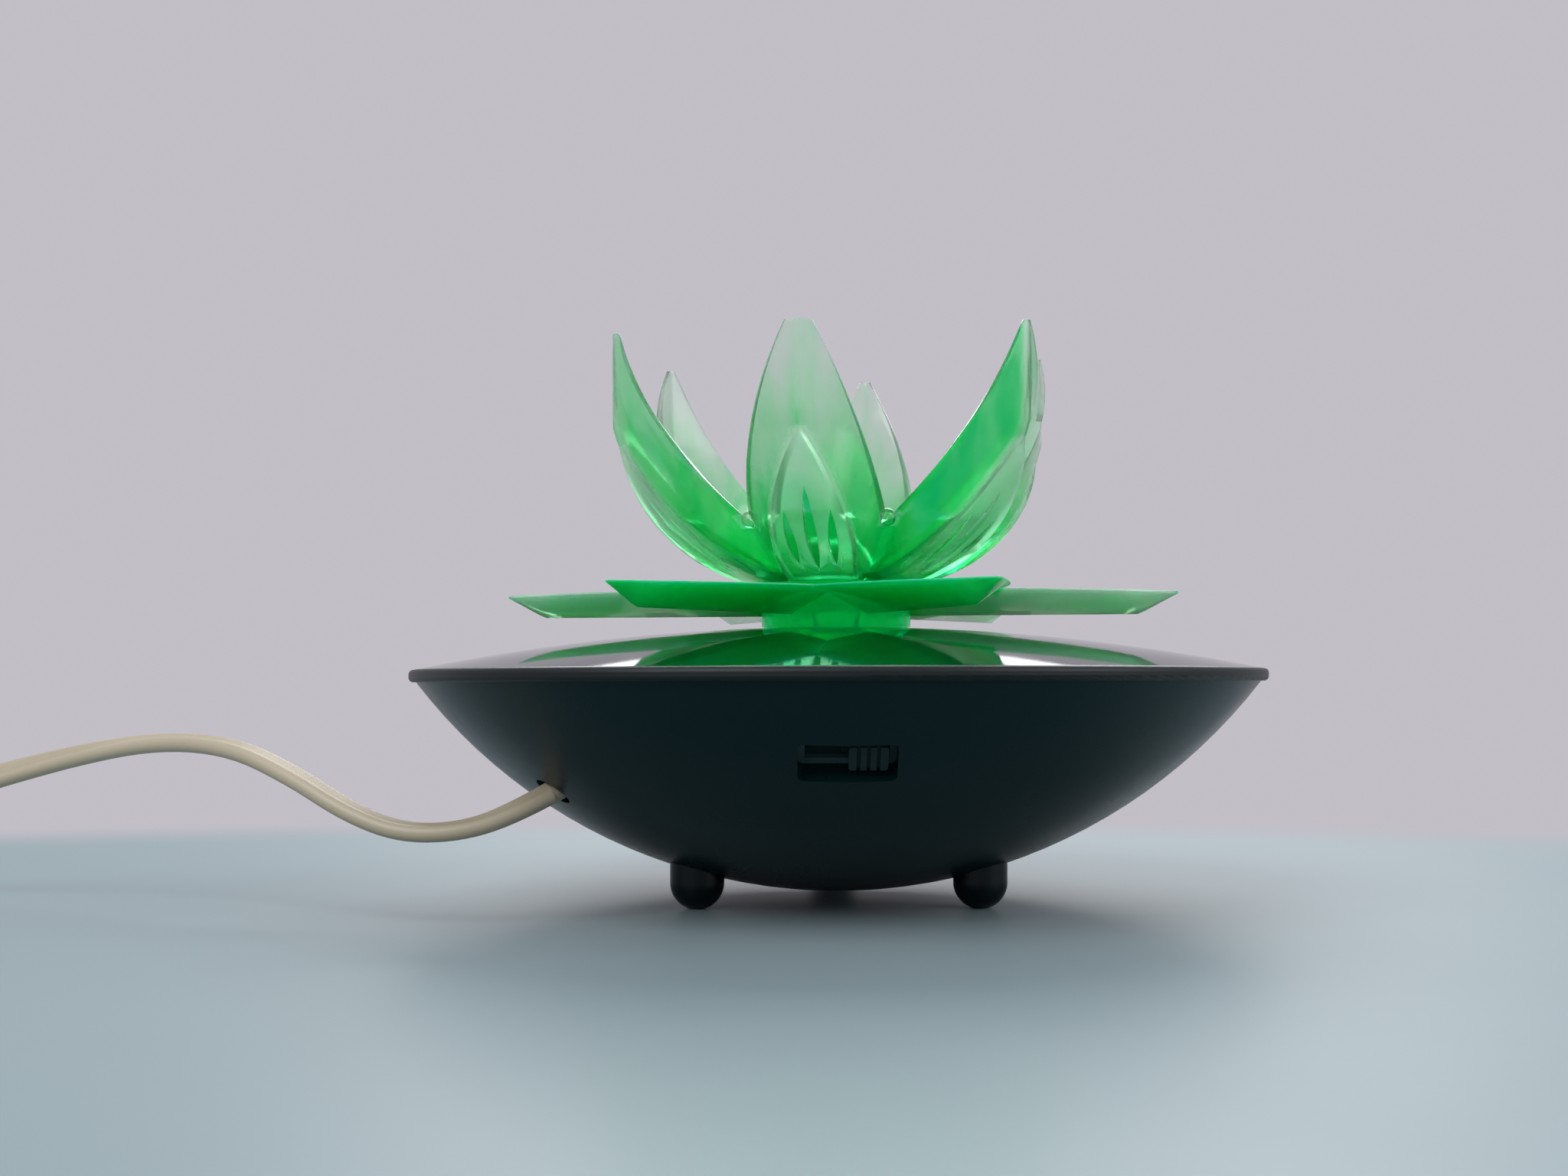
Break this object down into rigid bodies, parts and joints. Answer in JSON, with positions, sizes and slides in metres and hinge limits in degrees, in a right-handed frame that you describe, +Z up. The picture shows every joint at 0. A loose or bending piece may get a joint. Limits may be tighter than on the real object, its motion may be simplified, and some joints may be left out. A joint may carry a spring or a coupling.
{
  "type": "flower night light",
  "caption": "Saucer-shaped table night light with a clear green lotus flower over a small screw bulb, slide switch in front, twin cord with plug.",
  "frame": {"origin": "on the table under the flower's axis, at the bottom centre of the lamp without its cord", "axes": "+Z up, -Y towards the switch slot, +X to the right as seen from the switch side"},
  "size_m": [0.3739, 0.1665, 0.109],
  "materials": {
    "base_plastic": "satin dark teal-black",
    "lid_plastic": "glossy near-black",
    "foot_plastic": "gloss black",
    "leaf_acrylic": "clear green moulding",
    "petal_acrylic": "clear green moulding, frosted ribs",
    "knob_plastic": "matte black",
    "switch_plastic": "matte black",
    "plate_steel": "plain",
    "screw_steel": "bright",
    "contact_brass": "bright",
    "bulb_glass": "clear",
    "filament_wire": "dull",
    "cap_brass": "bright",
    "insulator_glass": "gloss black",
    "holder_plastic": "cream",
    "cord_vinyl": "satin beige",
    "wire_vinyl": "satin",
    "plug_vinyl": "satin beige",
    "blade_brass": "bright"
  },
  "bodies": {
    "base": {"bowl": "base_plastic", "lid": "lid_plastic", "foot_left": "foot_plastic", "foot_right": "foot_plastic", "foot_rear": "foot_plastic", "lid_screws": "screw_steel", "switch_body": "switch_plastic", "switch_plate": "plate_steel", "switch_screws": "screw_steel", "switch_tabs": "contact_brass", "lampholder": "holder_plastic", "holder_shell": "contact_brass", "holder_contact": "contact_brass", "holder_tab": "contact_brass", "holder_bracket": "plate_steel", "holder_screw": "screw_steel", "bracket_screws": "screw_steel", "cord_inner": "cord_vinyl", "cord_free": "cord_vinyl", "cord_coil": "cord_vinyl", "cord_clamp": "holder_plastic", "clamp_screws": "screw_steel", "wire_neutral": "wire_vinyl", "wire_live": "wire_vinyl", "wire_switched": "wire_vinyl", "plug_body": "plug_vinyl", "plug_blades": "blade_brass"},
    "slider": {"switch_slider": "knob_plastic"},
    "leaves": {"leaf_ring": "leaf_acrylic"},
    "flower": {"corolla": "petal_acrylic"},
    "bulb": {"bulb_glass": "bulb_glass", "bulb_stem": "bulb_glass", "bulb_filament": "filament_wire", "bulb_cap": "cap_brass", "bulb_insulator": "insulator_glass"}
  },
  "joints": [
    {"name": "switch_slide", "type": "slide", "parent": "base", "child": "slider", "axis": [1, 0, 0], "range_m": [-0.0068, 0]},
    {"name": "flower_turn", "type": "hinge", "parent": "base", "child": "leaves", "pos_m": [0, 0, 0.0534], "axis": [0, 0, 1], "continuous": true},
    {"name": "corolla_lift", "type": "slide", "parent": "leaves", "child": "flower", "axis": [0, 0, 1], "range_m": [0, 0.03]},
    {"name": "bulb_turn", "type": "hinge", "parent": "base", "child": "bulb", "pos_m": [0, 0, 0.022], "axis": [0, 0, 1], "continuous": true}
  ]
}
